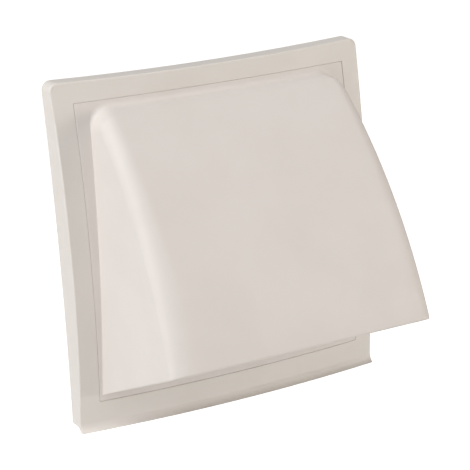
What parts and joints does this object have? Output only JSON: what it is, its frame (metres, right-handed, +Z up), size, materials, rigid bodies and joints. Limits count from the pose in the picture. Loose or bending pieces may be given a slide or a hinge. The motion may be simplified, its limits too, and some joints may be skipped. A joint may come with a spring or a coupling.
{
  "type": "cowled wall vent",
  "caption": "Square outdoor wall vent: a plain curved hood, open below, clipped into a domed frame with a drip edge and a round duct spigot behind.",
  "frame": {"origin": "axis of the duct spigot, in the plane of the wall that the frame stands against", "axes": "+Z up, +Y into the wall along the spigot, the hood faces -Y, +X to the right for someone who faces the wall"},
  "size_m": [0.1548, 0.1252, 0.1581],
  "materials": {
    "frame_plastic": "satin moulded off-white",
    "cowl_plastic": "satin moulded off-white"
  },
  "bodies": {
    "root": {"wall_frame": "frame_plastic", "cowl": "cowl_plastic"}
  },
  "joints": []
}
